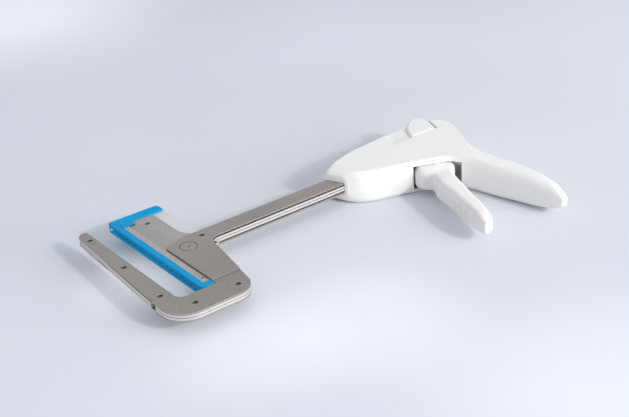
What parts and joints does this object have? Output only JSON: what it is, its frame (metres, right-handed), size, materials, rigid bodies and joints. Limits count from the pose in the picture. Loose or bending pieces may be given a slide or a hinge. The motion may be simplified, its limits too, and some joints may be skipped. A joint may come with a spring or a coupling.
{
  "type": "linear surgical stapler",
  "caption": "Single-use linear surgical stapler with a laminated C-shaped steel jaw, blue staple cartridge, flat shaft and pistol-grip handle with trigger, pin knob and release button.",
  "frame": {"origin": "centre of the anvil's staple-forming face, on the shaft's axis, in the middle of the thickness", "axes": "+X along the shaft from the anvil towards the handle, +Y across the jaw towards its open end, +Z through the thickness, out of the side that faces up when the stapler lies down"},
  "size_m": [0.256, 0.1608, 0.021],
  "materials": {
    "frame_steel": "brushed along the shaft",
    "holder_steel": "finely brushed",
    "bright_steel": "machined, bright",
    "spring_steel": "drawn wire",
    "blue_plastic": "moulded, satin",
    "white_plastic": "moulded, satin",
    "milky_plastic": "translucent, smooth"
  },
  "bodies": {
    "frame": {"frame_plate_upper": "frame_steel", "frame_plate_lower": "frame_steel", "core_lamination_upper": "bright_steel", "core_lamination_lower": "bright_steel", "far_rail_upper": "bright_steel", "far_rail_lower": "bright_steel", "anvil_bar": "bright_steel", "arm_backing_strip": "bright_steel", "frame_rivets": "frame_steel", "rail_washers": "bright_steel", "handle_shell_upper": "white_plastic", "handle_shell_lower": "white_plastic", "shell_screws": "bright_steel", "shaft_pins": "bright_steel", "trigger_pivot_pin": "bright_steel", "trigger_spring": "spring_steel", "pawl_spring": "spring_steel", "pawl_pin": "bright_steel"},
    "carriage": {"cartridge_body": "blue_plastic", "holder_plate_upper": "holder_steel", "holder_plate_lower": "holder_steel", "holder_rivets": "bright_steel", "closing_yoke": "bright_steel", "yoke_rivets": "bright_steel"},
    "pusher": {"staple_driver": "white_plastic", "pusher_bar": "bright_steel", "staples": "bright_steel"},
    "pin": {"retaining_pin": "bright_steel", "pin_link": "milky_plastic", "pin_strip": "bright_steel", "pin_slider": "white_plastic", "pin_knob": "white_plastic"},
    "trigger": {"trigger": "white_plastic", "drive_pins": "bright_steel"},
    "release": {"release_button": "white_plastic", "release_stem": "white_plastic"},
    "pawl": {"latch_pawl": "bright_steel"}
  },
  "joints": [
    {"name": "trigger_pull", "type": "hinge", "parent": "frame", "child": "trigger", "pos_m": [0.196, -0.02625, 0], "axis": [0, 0, 1], "range_deg": [0, 28], "stiffness_Nm_per_rad": 1.2},
    {"name": "jaw_close", "type": "slide", "parent": "frame", "child": "carriage", "axis": [-1, 0, 0], "range_m": [0, 0.0127]},
    {"name": "fire", "type": "slide", "parent": "carriage", "child": "pusher", "axis": [-1, 0, 0], "range_m": [0, 0.0036]},
    {"name": "pin_slide", "type": "slide", "parent": "frame", "child": "pin", "axis": [-1, 0, 0], "range_m": [0, 0.015]},
    {"name": "release_press", "type": "slide", "parent": "frame", "child": "release", "axis": [-0.9397, -0.342, 0], "range_m": [0, 0.003], "stiffness_N_per_m": 600},
    {"name": "pawl_turn", "type": "hinge", "parent": "frame", "child": "pawl", "pos_m": [0.219, -0.016, 0], "axis": [0, 0, 1], "range_deg": [0, 12]}
  ],
  "couplings": [
    {"joint": "jaw_close", "follows": "trigger_pull", "m_per_rad": 0.025988},
    {"joint": "pawl_turn", "follows": "release_press", "rad_per_m": 69.231}
  ]
}
